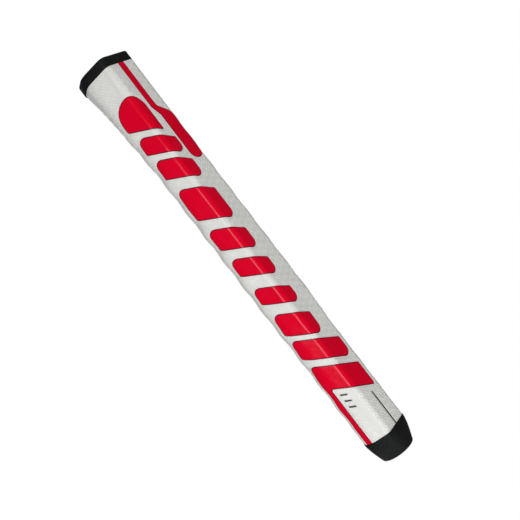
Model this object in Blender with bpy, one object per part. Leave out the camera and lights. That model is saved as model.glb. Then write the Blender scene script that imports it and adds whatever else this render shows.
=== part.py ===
"""Pistol-shaped putter grip, built as a moulder and a sewer build it.

A foam core slides over the shaft. A felt-backed polyurethane skin is wrapped round the core and sewn
along the back, and a rubber cap closes each end. Printed fields lie in shallow pockets of the skin.

Frame: the shaft's axis is Z, the mouth of the shaft socket is the origin, the butt is up (+Z), and the
flat thumb face looks along -Y. Lengths below are in millimetres, and meshes are made in metres.
"""

import math

import bmesh
import bpy

MM = 0.001

# Heights of the joints between the pieces.
GRIP_TOP = 266.8
CAP_UNDERSIDE = 260.9
WRAP_TOP = 260.6
WRAP_BOTTOM = 14.7
NOSE_SHOULDER = 14.4
COLLAR_TOP = 20.4
CORE_BOTTOM = 20.7
PLUG_BOTTOM = 255.5

# Layers of the wall, from outside in, with an assembly gap between them.
GAP = 0.3
SKIN = 1.1
FELT = 0.6
FELT_OUTSIDE = SKIN + GAP
CORE_OUTSIDE = FELT_OUTSIDE + FELT + GAP

# Shaft socket, for a parallel 14.7 mm putter shaft.
BORE_TOP_R = 7.2
BORE_MOUTH_R = 6.95
LEAD_IN_R = 7.7
LEAD_IN_H = 0.8
VENT_R = 1.5
PLUG_R = 6.9
PLUG_CHAMFER = 0.6

# Rubber end pieces.
CAP_EDGE_R = 0.6
CAP_FOOT_CHAMFER = 0.4
CAP_OVERHANG = dict(corner=0.1, side=0.4, back=0.7)
NOSE_OVERHANG = 0.45
NOSE_END_R = 10.3
NOSE_LIP_R = 9.3
NOSE_LEVELS = (0.8, 3.0, 5.5, 8.0, 11.0)
SHOULDER_CHAMFER = 0.3

# Rear seam: a sewing channel in the skin, a slit below it, and the bead and thread that fill them.
CHANNEL_HALF = 1.6
CHANNEL_DEPTH = 0.7
CHANNEL_FLOOR_HALF = 1.45
SLIT_HALF = 0.6
FELT_SLIT_HALF = 0.4
BEAD_HALF = 0.3
BEAD_TOP = 0.8
THREAD_R = 0.2
THREAD_DEPTH = 0.25
STITCH_HALF = 1.0
STITCH_STEP = 2.5
STITCH_MARGIN = 2.0

# Printed fields.
INLAY = 0.3
POCKET = INLAY + GAP
BAND_SLOPE = 0.52
RIDGE = 12.8
FIELD_TOP = WRAP_TOP - 0.6
FIELD_BOTTOM = WRAP_BOTTOM + 0.6
# Where the fields are creased, in girth, to bend round the ridges and the side.
RIDGE_CREASES = (7.0, 8.2, 9.4, 10.6)
LEFT_CREASES = (11.8, 13.0, 15.6, 18.2, 20.8, 23.4)
# The larger, the fewer points on a rounded corner.
CORNER_COARSENESS = 2.2

# The cross-section is the hull of five circles: two front corners, two sides and one back. The columns
# are front face distance, corner centre x and radius, side centre x, y and radius, back centre y and
# radius. Below WAIST it is the tip's, and from CHEST_LOW up to the pistol flare it is the chest's.
TIP_SECTION = (10.8, 7.2, 3.4, 4.3, 0.7, 9.5, -2.3, 13.0)
CHEST_SECTION = (11.2, 7.9, 3.6, 4.6, 0.8, 9.5, -2.1, 13.0)
BUTT_SECTION = (11.5, 7.8, 4.1, 3.9, 4.2, 10.4, 8.0, 11.9)
WAIST = 80.0
CHEST_LOW = 100.0
FLARE_LENGTH = 66.0
# Share of the pistol flare left at each distance below the butt.
FLARE = ((0.0, 1.0), (12.0, 0.76), (24.0, 0.60), (36.0, 0.44), (46.0, 0.24), (56.0, 0.06), (66.0, 0.0))
# Heights at which the section is drawn, close together where it changes.
SECTION_LEVELS = (WAIST, 85.0, 90.0, 95.0, CHEST_LOW, 194.0, 203.0, 212.0, 221.0, 231.0, 241.0, 251.0)

CORNER_STEPS = 4
SIDE_STEPS = 5
BACK_STEPS = 3


def blend(a, b, share):
    return tuple(x + (y - x) * share for x, y in zip(a, b))


def smooth(t):
    t = min(1.0, max(0.0, t))
    return t * t * (3.0 - 2.0 * t)


def flare_share(below_butt):
    """Catmull-Rom curve through FLARE."""
    if below_butt >= FLARE_LENGTH:
        return 0.0
    if below_butt <= 0.0:
        return 1.0
    values = [FLARE[0][1]] + [v for _, v in FLARE] + [FLARE[-1][1]]
    i = max(k for k in range(len(FLARE) - 1) if FLARE[k][0] <= below_butt)
    t = (below_butt - FLARE[i][0]) / (FLARE[i + 1][0] - FLARE[i][0])
    a, b, c, d = values[i : i + 4]
    return 0.5 * (2 * b + (c - a) * t + (2 * a - 5 * b + 4 * c - d) * t**2 + (3 * b - a - 3 * c + d) * t**3)


def section(z):
    """The eight section values at height z."""
    if z <= CHEST_LOW:
        return blend(TIP_SECTION, CHEST_SECTION, smooth((z - WAIST) / (CHEST_LOW - WAIST)))
    return blend(CHEST_SECTION, BUTT_SECTION, flare_share(WRAP_TOP - z))


def hull_circles(values):
    """The five circles, anticlockwise from the front right corner, as (x, y, radius)."""
    front, corner_x, corner_r, side_x, side_y, side_r, back_y, back_r = values
    corner_y = corner_r - front
    return (
        (corner_x, corner_y, corner_r),
        (side_x, side_y, side_r),
        (0.0, back_y, back_r),
        (-side_x, side_y, side_r),
        (-corner_x, corner_y, corner_r),
    )


def tangent_angle(a, b):
    """Angle, within half a turn of +X, of the outward normal of the line that touches circles a and b."""
    dx, dy = b[0] - a[0], b[1] - a[1]
    angle = math.atan2(dy, dx) - math.acos((a[2] - b[2]) / math.hypot(dx, dy))
    return math.remainder(angle, 2 * math.pi)


def arc(circle, start, end, steps, inset):
    x, y, r = circle
    angles = [start + (end - start) * i / steps for i in range(steps + 1)]
    return [(x + (r - inset) * math.cos(a), y + (r - inset) * math.sin(a)) for a in angles]


def open_outline(z, inset=0.0, half_gap=0.0, values=None):
    """Points from the back seam round the right side, the front and the left side to the seam again."""
    corner, side, back, _, _ = hull_circles(values or section(z))
    side_to_back = tangent_angle(side, back)
    corner_to_side = tangent_angle(corner, side)
    seam_edge = math.pi / 2 - half_gap / back[2]
    side_arc = arc(side, side_to_back, corner_to_side, SIDE_STEPS, inset)
    corner_arc = arc(corner, corner_to_side, -math.pi / 2, CORNER_STEPS, inset)
    middle_of_flank = blend(side_arc[-1], corner_arc[0], 0.5)
    right = arc(back, seam_edge, side_to_back, BACK_STEPS, inset) + side_arc
    right += [middle_of_flank] + corner_arc
    front_x, front_y = corner_arc[-1]
    right.append((0.5 * front_x, front_y))
    return right + [(0.0, front_y)] + [(-x, y) for x, y in reversed(right)]


def closed_outline(z, inset=0.0, values=None):
    """The same points as a closed ring, with the seam's doubled point left out."""
    return open_outline(z, inset, 0.0, values)[:-1]


def circle_outline(r):
    """A circle with as many points as closed_outline, evenly spaced from the back."""
    count = len(closed_outline(0.0))
    angles = [math.pi / 2 - 2 * math.pi * i / count for i in range(count)]
    return [(r * math.cos(a), r * math.sin(a)) for a in angles]


def facing_circle(r):
    """A circle whose points face the same way as the tip section's, so that the nose lofts cleanly."""
    angles = [math.atan2(y, x) for x, y in closed_outline(0.0)]
    return [(r * math.cos(a), r * math.sin(a)) for a in angles]


def heights(low, high):
    """Levels for a loft between two heights."""
    return [low] + [z for z in SECTION_LEVELS if low + 1.0 < z < high - 1.0] + [high]


def at_height(outline, z):
    return [(x, y, z) for x, y in outline]


def round_ring(r, z):
    return at_height(circle_outline(r), z)


def make_object(name, points, faces, material):
    mesh = bpy.data.meshes.new(name)
    mesh.from_pydata([(x * MM, y * MM, z * MM) for x, y, z in points], [], faces)
    bm = bmesh.new()
    bm.from_mesh(mesh)
    bmesh.ops.recalc_face_normals(bm, faces=bm.faces)
    bm.to_mesh(mesh)
    bm.free()
    mesh.shade_smooth()
    mesh.set_sharp_from_angle(angle=math.radians(35))
    if material:
        mesh.materials.append(material)
    piece = bpy.data.objects.new(name, mesh)
    bpy.context.scene.collection.objects.link(piece)
    return piece


def make_material(name, colour, roughness, metallic=0.0):
    material = bpy.data.materials.new(name)
    material.use_nodes = True
    shader = material.node_tree.nodes["Principled BSDF"]
    shader.inputs["Base Color"].default_value = (*colour, 1.0)
    shader.inputs["Roughness"].default_value = roughness
    shader.inputs["Metallic"].default_value = metallic
    material.diffuse_color = (*colour, 1.0)
    return material


def ring_loft(name, rings, material):
    """A tube-like solid: each ring is joined to the next, and the last to the first."""
    count = len(rings[0])
    points = [p for ring in rings for p in ring]
    faces = []
    for r in range(len(rings)):
        a, b = r * count, (r + 1) % len(rings) * count
        for i in range(count):
            j = (i + 1) % count
            faces.append((a + i, a + j, b + j, b + i))
    return make_object(name, points, faces, material)


def strip_loft(name, levels, material):
    """A solid from closed section loops, one for each height, capped at both ends.

    A loop is its outer row followed by its inner row, both in the same order.
    """
    count = len(levels[0][0])
    points = [p for outer, inner in levels for p in outer + inner]
    faces = []
    for r in range(len(levels) - 1):
        a, b = r * 2 * count, (r + 1) * 2 * count
        for i in range(count - 1):
            faces.append((a + i, a + i + 1, b + i + 1, b + i))
            faces.append((a + count + i, b + count + i, b + count + i + 1, a + count + i + 1))
        faces.append((a, b, b + count, a + count))
        faces.append((a + count - 1, a + 2 * count - 1, b + 2 * count - 1, b + count - 1))
    last = (len(levels) - 1) * 2 * count
    for a in (0, last):
        for i in range(count - 1):
            faces.append((a + i, a + count + i, a + count + i + 1, a + i + 1))
    return make_object(name, points, faces, material)


def make_core_sleeve(material):
    """EVA underlisting: the pistol shape's body, with the shaft socket through it."""
    outer = [at_height(closed_outline(z, CORE_OUTSIDE), z) for z in heights(CORE_BOTTOM, WRAP_TOP)]
    bore = [round_ring(BORE_TOP_R, WRAP_TOP), round_ring(BORE_MOUTH_R, CORE_BOTTOM)]
    return ring_loft("core_sleeve", outer + bore, material)


def make_felt_backing(material):
    """Non-woven felt that the skin is cast on, butted at the back."""
    levels = []
    for z in heights(WRAP_BOTTOM, WRAP_TOP):
        outer = open_outline(z, FELT_OUTSIDE, FELT_SLIT_HALF)
        inner = open_outline(z, FELT_OUTSIDE + FELT, FELT_SLIT_HALF)
        levels.append((at_height(outer, z), at_height(inner, z)))
    return strip_loft("felt_backing", levels, material)


def back_point(z, across, inset):
    """A point beside the seam: across is the distance along the surface, positive to the right."""
    values = section(z)
    back_y, back_r = values[6], values[7]
    angle = math.pi / 2 - across / back_r
    return (back_r - inset) * math.cos(angle), back_y + (back_r - inset) * math.sin(angle)


def make_skin(material):
    """Polyurethane wrap. A sewing channel runs down its back, with the slit between its edges."""
    levels = []
    for z in heights(WRAP_BOTTOM, WRAP_TOP):
        floor = [(SLIT_HALF, CHANNEL_DEPTH), (CHANNEL_FLOOR_HALF, CHANNEL_DEPTH)]
        start = [back_point(z, across, depth) for across, depth in floor]
        end = [(-x, y) for x, y in reversed(start)]
        outer = start + open_outline(z, 0.0, CHANNEL_HALF) + end
        start = [back_point(z, across, SKIN) for across, _ in floor]
        end = [(-x, y) for x, y in reversed(start)]
        inner = start + open_outline(z, SKIN, CHANNEL_HALF) + end
        levels.append((at_height(outer, z), at_height(inner, z)))
    return strip_loft("pu_skin", levels, material)


def make_seam_sealant(material):
    """Bead that closes the slit under the stitches."""
    levels = []
    for z in heights(WRAP_BOTTOM + GAP, WRAP_TOP - GAP):
        outer = [back_point(z, BEAD_HALF, BEAD_TOP), back_point(z, -BEAD_HALF, BEAD_TOP)]
        inner = [back_point(z, BEAD_HALF, SKIN), back_point(z, -BEAD_HALF, SKIN)]
        levels.append((at_height(outer, z), at_height(inner, z)))
    return strip_loft("seam_sealant", levels, material)


def make_seam_thread(material):
    """One thread, stitched to and fro across the slit."""
    count = int((WRAP_TOP - WRAP_BOTTOM - 2 * STITCH_MARGIN) / STITCH_STEP)
    start = 0.5 * (WRAP_TOP + WRAP_BOTTOM - count * STITCH_STEP)
    curve = bpy.data.curves.new("seam_thread", "CURVE")
    curve.dimensions = "3D"
    curve.bevel_depth = THREAD_R * MM
    curve.bevel_resolution = 1
    curve.use_fill_caps = True
    spline = curve.splines.new("POLY")
    spline.points.add(count)
    for i in range(count + 1):
        z = start + i * STITCH_STEP
        side = STITCH_HALF if i % 2 else -STITCH_HALF
        x, y = back_point(z, side, THREAD_DEPTH)
        spline.points[i].co = (x * MM, y * MM, z * MM, 1.0)
    curve.materials.append(material)
    thread = bpy.data.objects.new("seam_thread", curve)
    bpy.context.scene.collection.objects.link(thread)
    return thread


def make_butt_cap(material):
    """Rubber cap: a rimmed plate over the end of the wrap, and a vented plug in the core's bore."""
    values = list(BUTT_SECTION)
    values[0] += CAP_OVERHANG["corner"]
    values[2] += CAP_OVERHANG["corner"]
    values[5] += CAP_OVERHANG["side"]
    values[7] += CAP_OVERHANG["back"]

    def plate(inset, z):
        return at_height(closed_outline(z, inset, values), z)

    rings = [round_ring(VENT_R, PLUG_BOTTOM), round_ring(VENT_R, GRIP_TOP)]
    for angle in (90, 60, 30, 0):
        out = CAP_EDGE_R * (1.0 - math.cos(math.radians(angle)))
        drop = CAP_EDGE_R * (1.0 - math.sin(math.radians(angle)))
        rings.append(plate(out, GRIP_TOP - drop))
    rings += [plate(0.0, CAP_UNDERSIDE + CAP_FOOT_CHAMFER), plate(CAP_FOOT_CHAMFER, CAP_UNDERSIDE)]
    rings += [round_ring(PLUG_R, CAP_UNDERSIDE), round_ring(PLUG_R, PLUG_BOTTOM + PLUG_CHAMFER)]
    rings.append(round_ring(PLUG_R - PLUG_CHAMFER, PLUG_BOTTOM))
    return ring_loft("butt_cap", rings, material)


def make_tip_cap(material):
    """Rubber nose: the section tapers to a round end, and a collar keys into the wrap."""

    def nose(z):
        share = ((NOSE_SHOULDER - z) / (NOSE_SHOULDER - NOSE_LEVELS[0])) ** 1.5
        outer = closed_outline(z, -NOSE_OVERHANG)
        inner = facing_circle(NOSE_END_R)
        return [(*blend(a, b, share), z) for a, b in zip(outer, inner)]

    rings = [round_ring(LEAD_IN_R, 0.0), at_height(facing_circle(NOSE_LIP_R), 0.0)]
    half_round = math.radians(45)
    rounding_r = NOSE_LIP_R + (NOSE_END_R - NOSE_LIP_R) * math.sin(half_round)
    rings.append(at_height(facing_circle(rounding_r), NOSE_LEVELS[0] * (1.0 - math.cos(half_round))))
    rings += [nose(z) for z in (*NOSE_LEVELS, NOSE_SHOULDER - SHOULDER_CHAMFER)]
    chamfer = closed_outline(NOSE_SHOULDER, SHOULDER_CHAMFER - NOSE_OVERHANG)
    rings.append(at_height(chamfer, NOSE_SHOULDER))
    rings.append(at_height(closed_outline(NOSE_SHOULDER, CORE_OUTSIDE), NOSE_SHOULDER))
    rings.append(at_height(closed_outline(COLLAR_TOP, CORE_OUTSIDE), COLLAR_TOP))
    rings += [round_ring(BORE_MOUTH_R, COLLAR_TOP), round_ring(BORE_MOUTH_R, LEAD_IN_H)]
    return ring_loft("tip_cap", rings, material)


# Printed fields are drawn on the unrolled skin: girth is the distance round the surface from the front
# centre line, positive to the left side, and height is z.


def surface_point(girth, z, depth):
    """The point of the skin at that girth and height, depth below the surface."""
    values = section(z)
    corner, side, _, _, _ = hull_circles(values)
    round_to_side = -math.pi / 2, tangent_angle(corner, side)
    flat = corner[0]
    distance = abs(girth)
    corner_arc = corner[2] * (round_to_side[1] - round_to_side[0])
    length = math.hypot(side[0] - corner[0], side[1] - corner[1])
    tangent = math.sqrt(length**2 - (side[2] - corner[2]) ** 2)
    if distance <= flat:
        x, y, angle = distance, corner[1] - corner[2], -math.pi / 2
    elif distance <= flat + corner_arc:
        angle = -math.pi / 2 + (distance - flat) / corner[2]
        x, y = corner[0] + corner[2] * math.cos(angle), corner[1] + corner[2] * math.sin(angle)
    elif distance <= flat + corner_arc + tangent:
        angle = round_to_side[1]
        along = distance - flat - corner_arc
        x = corner[0] + corner[2] * math.cos(angle) - along * math.sin(angle)
        y = corner[1] + corner[2] * math.sin(angle) + along * math.cos(angle)
    else:
        angle = round_to_side[1] + (distance - flat - corner_arc - tangent) / side[2]
        x, y = side[0] + side[2] * math.cos(angle), side[1] + side[2] * math.sin(angle)
    x -= depth * math.cos(angle)
    y -= depth * math.sin(angle)
    return (-x if girth > 0 else x), y, z


def rounded(corners):
    """A polygon's points with each corner (girth, height, radius) turned into an arc."""
    points = []
    for i, (x, y, r) in enumerate(corners):
        before, after = corners[i - 1], corners[(i + 1) % len(corners)]
        in_x, in_y = before[0] - x, before[1] - y
        out_x, out_y = after[0] - x, after[1] - y
        in_l, out_l = math.hypot(in_x, in_y), math.hypot(out_x, out_y)
        in_x, in_y, out_x, out_y = in_x / in_l, in_y / in_l, out_x / out_l, out_y / out_l
        half = 0.5 * math.acos(max(-1.0, min(1.0, in_x * out_x + in_y * out_y)))
        if r <= 0.0:
            points.append((x, y))
            continue
        back_off = r / math.tan(half)
        steps = max(2, round((math.pi - 2 * half) * (1 + r) / CORNER_COARSENESS))
        for k in range(steps + 1):
            # A conic through the two touching points keeps the corner's direction at both ends.
            t = k / steps
            a, b, c = (1 - t) ** 2, 2 * t * (1 - t) * math.sin(half), t**2
            px = a * (x + in_x * back_off) + b * x + c * (x + out_x * back_off)
            py = a * (y + in_y * back_off) + b * y + c * (y + out_y * back_off)
            points.append((px / (a + b + c), py / (a + b + c)))
    return points


def on_slant(girth, ridge_height):
    """Height of a slanted edge that crosses the left front ridge at ridge_height."""
    return ridge_height + BAND_SLOPE * (girth - RIDGE)


def band(top, bottom, near, far, lean_r=4.0, keen_r=1.2):
    """A slanted bar between two ridge heights, from girth near (front) to girth far (side)."""
    return rounded([
        (near, on_slant(near, top), keen_r),
        (far, on_slant(far, top), lean_r),
        (far, on_slant(far, bottom), keen_r),
        (near, on_slant(near, bottom), lean_r),
    ])


def lead_bar():
    """The first bar, with a round butt end."""
    near, far, end, top = 4.4, 25.0, 220.8, 242.0
    corners = [(near, on_slant(near, end), 1.2), (near, top, 9.0), (far, top, 11.0)]
    corners.append((far, on_slant(far, end), 2.5))
    return rounded(corners)


def front_dart():
    """The centre stripe from the butt cap, widening into a round-ended lozenge on the thumb face."""
    half, shoulder, low = 2.35, 231.0, 194.5
    left, right = -0.2, -10.2
    corners = [(half, FIELD_TOP, 0.0), (half, shoulder, 0.0), (left, shoulder - 6.0, 1.5), (left, low, 5.0)]
    corners += [(right, low, 5.0), (right, shoulder - 7.0, 6.0), (-half, shoulder, 3.0)]
    corners.append((-half, FIELD_TOP, 0.0))
    return rounded(corners)


def tail_band():
    """The last bar, with the side stripe that runs on to the nose."""
    near, far, inner = -6.3, 25.2, 20.4
    top, bottom = 62.5, 47.0
    corners = [(near, on_slant(near, top), 1.2), (far, on_slant(far, top), 4.0), (far, FIELD_BOTTOM, 0.0)]
    corners += [(inner, FIELD_BOTTOM, 0.0), (inner, on_slant(inner, bottom), 1.0)]
    corners.append((near, on_slant(near, bottom), 1.2))
    return rounded(corners)


def sight_line():
    half, top = 0.35, 36.0
    return [(-half, FIELD_BOTTOM), (-half, top), (half, top), (half, FIELD_BOTTOM)]


def printed_fields():
    """Name and outline of each printed field, from the butt down."""
    bars = ((216.9, 205.6), (201.9, 189.1), (182.1, 161.2), (154.8, 140.9))
    bars += ((135.0, 123.2), (115.2, 104.0), (97.5, 83.0))
    near, far = 0.8, 23.8
    fields = [("inlay_front_dart", front_dart()), ("inlay_lead_bar", lead_bar())]
    for number, (top, bottom) in enumerate(bars, 1):
        fields.append((f"inlay_bar_{number}", band(top, bottom, near, far)))
    fields.append(("inlay_long_bar", band(80.0, 66.8, -6.3, 24.6)))
    fields.append(("inlay_tail_bar", tail_band()))
    return fields


def grown(outline, by):
    """The outline moved outwards by a distance."""
    area = sum(a[0] * b[1] - b[0] * a[1] for a, b in zip(outline, outline[1:] + outline[:1]))
    turn = 1.0 if area > 0 else -1.0
    moved = []
    for i, (x, y) in enumerate(outline):
        before, after = outline[i - 1], outline[(i + 1) % len(outline)]
        normals = []
        for a, b in ((before, (x, y)), ((x, y), after)):
            length = math.hypot(b[0] - a[0], b[1] - a[1])
            normals.append((turn * (b[1] - a[1]) / length, turn * (a[0] - b[0]) / length))
        nx, ny = normals[0][0] + normals[1][0], normals[0][1] + normals[1][1]
        scale = by * 2.0 / max(0.5, nx * nx + ny * ny)
        moved.append((x + nx * scale, y + ny * scale))
    return moved


def plate_object(name, outline, shallow, deep, material):
    """A plate that follows the skin inside an outline, between two depths."""
    bm = bmesh.new()
    bm.faces.new([bm.verts.new((g, z, 0.0)) for g, z in outline])
    creases = [-g for g in RIDGE_CREASES] + [*RIDGE_CREASES, *LEFT_CREASES]
    cuts = [((g, 0.0, 0.0), (1.0, 0.0, 0.0)) for g in creases]
    low, high = min(z for _, z in outline), max(z for _, z in outline)
    cuts += [((0.0, z, 0.0), (0.0, 1.0, 0.0)) for z in heights(low, high)[1:-1]]
    for place, normal in cuts:
        geometry = bm.verts[:] + bm.edges[:] + bm.faces[:]
        bmesh.ops.bisect_plane(bm, geom=geometry, dist=1e-5, plane_co=place, plane_no=normal)
    bmesh.ops.triangulate(bm, faces=bm.faces)
    bm.verts.index_update()
    flat = [(v.co.x, v.co.y) for v in bm.verts]
    count = len(flat)
    points = [surface_point(g, z, shallow) for g, z in flat] + [surface_point(g, z, deep) for g, z in flat]
    faces = []
    for face in bm.faces:
        corners = [v.index for v in face.verts]
        faces.append(corners)
        faces.append([i + count for i in reversed(corners)])
    for edge in bm.edges:
        if len(edge.link_faces) == 1:
            a, b = (v.index for v in edge.verts)
            faces.append([a, b, b + count, a + count])
    bm.free()
    return make_object(name, points, faces, material)


def make_printed_fields(skin, red, black):
    """Each field as a thin inlay, with its pocket cut in the skin."""
    cutters = bpy.data.collections.new("pocket_cutters")
    bpy.context.scene.collection.children.link(cutters)
    fields = [(name, outline, red) for name, outline in printed_fields()]
    fields.append(("inlay_sight_line", sight_line(), black))
    for name, outline, material in fields:
        plate_object(name, outline, 0.0, INLAY, material)
        cutter = plate_object(f"{name}_pocket", grown(outline, GAP), -1.0, POCKET, None)
        bpy.context.scene.collection.objects.unlink(cutter)
        cutters.objects.link(cutter)
        cutter.hide_render = True
        cutter.display_type = "WIRE"
    pockets = skin.modifiers.new("pockets", "BOOLEAN")
    pockets.operation = "DIFFERENCE"
    pockets.solver = "EXACT"
    pockets.operand_type = "COLLECTION"
    pockets.collection = cutters


def clear_scene():
    for item in list(bpy.data.objects):
        bpy.data.objects.remove(item, do_unlink=True)


def main():
    clear_scene()
    rubber = make_material("black_rubber", (0.012, 0.013, 0.013), 0.75)
    foam = make_material("eva_foam", (0.10, 0.10, 0.105), 0.95)
    felt = make_material("felt", (0.55, 0.55, 0.53), 0.98)
    white = make_material("white_polyurethane", (0.70, 0.70, 0.66), 0.55)
    red = make_material("red_print", (0.66, 0.004, 0.020), 0.30)
    black = make_material("black_print", (0.02, 0.02, 0.02), 0.40)
    sealer = make_material("seam_sealer", (0.62, 0.62, 0.58), 0.35)
    thread = make_material("sewing_thread", (0.72, 0.72, 0.68), 0.80)
    make_butt_cap(rubber)
    make_tip_cap(rubber)
    make_core_sleeve(foam)
    make_felt_backing(felt)
    skin = make_skin(white)
    make_seam_sealant(sealer)
    make_seam_thread(thread)
    make_printed_fields(skin, red, black)


main()
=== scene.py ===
# Looks of the pistol-shaped putter grip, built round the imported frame.
import math

import bmesh
import bpy
import numpy as np
from mathutils import Matrix, Vector


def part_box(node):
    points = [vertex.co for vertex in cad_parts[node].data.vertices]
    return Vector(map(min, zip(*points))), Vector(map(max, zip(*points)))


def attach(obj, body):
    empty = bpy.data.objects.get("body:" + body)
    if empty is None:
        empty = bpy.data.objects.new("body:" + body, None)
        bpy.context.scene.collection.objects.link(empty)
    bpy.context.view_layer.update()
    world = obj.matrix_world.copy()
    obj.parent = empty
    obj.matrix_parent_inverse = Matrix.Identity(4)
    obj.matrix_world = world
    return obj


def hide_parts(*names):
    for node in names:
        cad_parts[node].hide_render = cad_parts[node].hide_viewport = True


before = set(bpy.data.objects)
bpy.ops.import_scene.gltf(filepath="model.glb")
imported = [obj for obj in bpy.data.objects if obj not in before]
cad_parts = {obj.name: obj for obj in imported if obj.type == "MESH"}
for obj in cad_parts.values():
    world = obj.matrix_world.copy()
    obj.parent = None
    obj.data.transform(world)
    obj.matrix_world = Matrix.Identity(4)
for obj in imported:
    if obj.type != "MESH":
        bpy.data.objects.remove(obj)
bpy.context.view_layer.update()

# Lengths below are in millimetres in the frame's axes: the shaft's axis is Z, the socket's mouth is the
# origin, the butt is up, and the flat thumb face looks along -Y. Meshes are made in metres.
MM = 0.001


def top_of(node):
    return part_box(node)[1].z / MM


def bottom_of(node):
    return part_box(node)[0].z / MM


# Heights, read from the frame.
GRIP_TOP = top_of("butt_cap")
PLUG_BOTTOM = bottom_of("butt_cap")
WRAP_TOP = top_of("pu_skin")
WRAP_BOTTOM = bottom_of("pu_skin")
COLLAR_TOP = top_of("tip_cap")
CORE_BOTTOM = bottom_of("core_sleeve")
GAP = 0.3
CAP_UNDERSIDE = WRAP_TOP + GAP
NOSE_SHOULDER = WRAP_BOTTOM - GAP
# The skin is drawn a little longer than its solid, so that no gap shows at the caps.
SKIN_TOP = CAP_UNDERSIDE - 0.05
SKIN_BOTTOM = NOSE_SHOULDER + 0.05

# Thickness of the wall's layers, and how far below the skin's outside the inner ones begin.
SKIN = 1.1
FELT = 0.6
FELT_OUTSIDE = SKIN + GAP
CORE_OUTSIDE = FELT_OUTSIDE + FELT + GAP

# Shaft socket: it widens from the mouth to the butt, and has a lead-in at the mouth.
BORE_TOP_R = 7.2
BORE_MOUTH_R = 6.95
LEAD_IN_R = 7.7
LEAD_IN_H = 0.8

# Butt cap: its plug, the ring round its vent, the sunk panel on top, and how far it stands out past the
# wrap at each part of the outline.
VENT_R = 1.5
PLUG_R = 6.9
PLUG_CHAMFER = 0.6
BOSS_R = 3.6
PANEL_DEPTH = 0.3
PANEL_INSET = 3.0
CAP_EDGE_R = 0.6
CAP_OVERHANG = dict(corner=0.1, side=0.4, back=0.7)

# Nose: how far it stands out past the wrap, its round end and the flat ring there, and its taper.
NOSE_OVERHANG = 0.45
NOSE_END_R = 10.3
NOSE_LIP_R = 9.3
TAPER_POWER = 1.5

# Rear seam: the sewing channel, the slit in its floor, the stitches across the slit and their two plies.
CHANNEL_HALF = 1.7
CHANNEL_FLOOR_HALF = 1.15
CHANNEL_DEPTH = 0.62
SLIT_HALF = 0.6
STITCH_HALF = 1.05
STITCH_STEP = 2.5
PLY_R = 0.13
PLY_OFFSET = 0.10
TWIST_PITCH = 1.3

# Printed fields: depth, slope of the bars' slanted edges, and girth of the left front ridge, where the
# bars' heights are given.
INLAY = 0.3
BAND_SLOPE = 0.52
RIDGE = 12.8
# Cross-sections of a field's edge, of a dash's edge and of the raised line round a field, as (distance
# outwards, height). The first EDGE_RINGS rings of a field, below the top, bound its dark edge: painted
# shade where the field's rounded edge drops into the groove round it.
FIELD_PROFILE = ((-0.02, -INLAY), (0.0, -0.06), (-0.12, 0.0), (-0.48, 0.01), (-0.80, 0.03))
EDGE_RINGS = 3
DASH_PROFILE = ((0.0, -0.1), (0.0, 0.01), (-0.08, 0.03))
RIM_PROFILE = ((-0.02, -0.25), (0.03, 0.04), (0.12, 0.11), (0.24, 0.12), (0.37, 0.06), (0.5, -0.12))

# The cross-section is the hull of five circles: two front corners, two sides and one back. The columns
# are front face distance, corner centre x and radius, side centre x, y and radius, back centre y and
# radius.
TIP_SECTION = np.array((10.8, 7.2, 3.4, 4.3, 0.7, 9.5, -2.3, 13.0))
CHEST_SECTION = np.array((11.2, 7.9, 3.6, 4.6, 0.8, 9.5, -2.1, 13.0))
BUTT_SECTION = np.array((11.5, 7.8, 4.1, 3.9, 4.2, 10.4, 8.0, 11.9))
# The tip's section holds up to WAIST, and the chest's is reached at CHEST_LOW.
WAIST = 80.0
CHEST_LOW = 100.0
# Share of the pistol flare left at each distance below the butt.
FLARE = ((0.0, 1.0), (12.0, 0.76), (24.0, 0.60), (36.0, 0.44), (46.0, 0.24), (56.0, 0.06), (66.0, 0.0))

# The skin's grid: even columns out to EVEN_GIRTH, then REAR_COLUMNS more on each side, and then columns
# at these distances from the seam's middle.
GRID = 0.55
EVEN_GIRTH = 26.0
REAR_COLUMNS = 27
SEAM_COLUMNS = (2.15, 1.9, 1.7, 1.55, 1.4, 1.25, 1.1, 0.85, SLIT_HALF)

# Embossing: dots in a diagonal lattice, four grid steps a period, gathered in staggered clusters. The
# skin keeps its plain colour where the embossing has the height EMBOSS_PLAIN; above it the colour is a
# painted highlight, below it painted shade.
DIAMOND = 4 * GRID
EMBOSS_DEPTH = 0.30
EMBOSS_PLAIN = 0.08
CLUSTER_STEP = 4.4
CLUSTER_ROWS = 9.2

# Moulded swells: spacing, and depth on the sides and on the thumb face's right edge.
RIPPLE_PERIOD = 17.0
RIPPLE_SIDE = 0.27
RIPPLE_EDGE = 0.17

# Points round a ring of the caps and the core.
AROUND = 176
# Points nearer than this are taken as one.
SAME = 0.01


# ---- Shape of the grip ----


def smooth(t):
    t = np.clip(t, 0.0, 1.0)
    return t * t * (3.0 - 2.0 * t)


def flare_share(below_butt):
    """Catmull-Rom curve through FLARE."""
    knots = np.array([k for k, _ in FLARE])
    values = np.array([FLARE[0][1]] + [v for _, v in FLARE] + [FLARE[-1][1]])
    i = np.clip(np.searchsorted(knots, below_butt, side="right") - 1, 0, len(knots) - 2)
    t = np.clip((below_butt - knots[i]) / (knots[i + 1] - knots[i]), 0.0, 1.0)
    a, b, c, d = (values[i + k] for k in range(4))
    return 0.5 * (2 * b + (c - a) * t + (2 * a - 5 * b + 4 * c - d) * t**2 + (3 * b - a - 3 * c + d) * t**3)


def section(z):
    """The eight section values at each height, along a new last axis."""
    z = np.asarray(z, float)[..., None]
    low = TIP_SECTION + (CHEST_SECTION - TIP_SECTION) * smooth((z - WAIST) / (CHEST_LOW - WAIST))
    high = CHEST_SECTION + (BUTT_SECTION - CHEST_SECTION) * flare_share(WRAP_TOP - z)
    return np.where(z <= CHEST_LOW, low, high)


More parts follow.
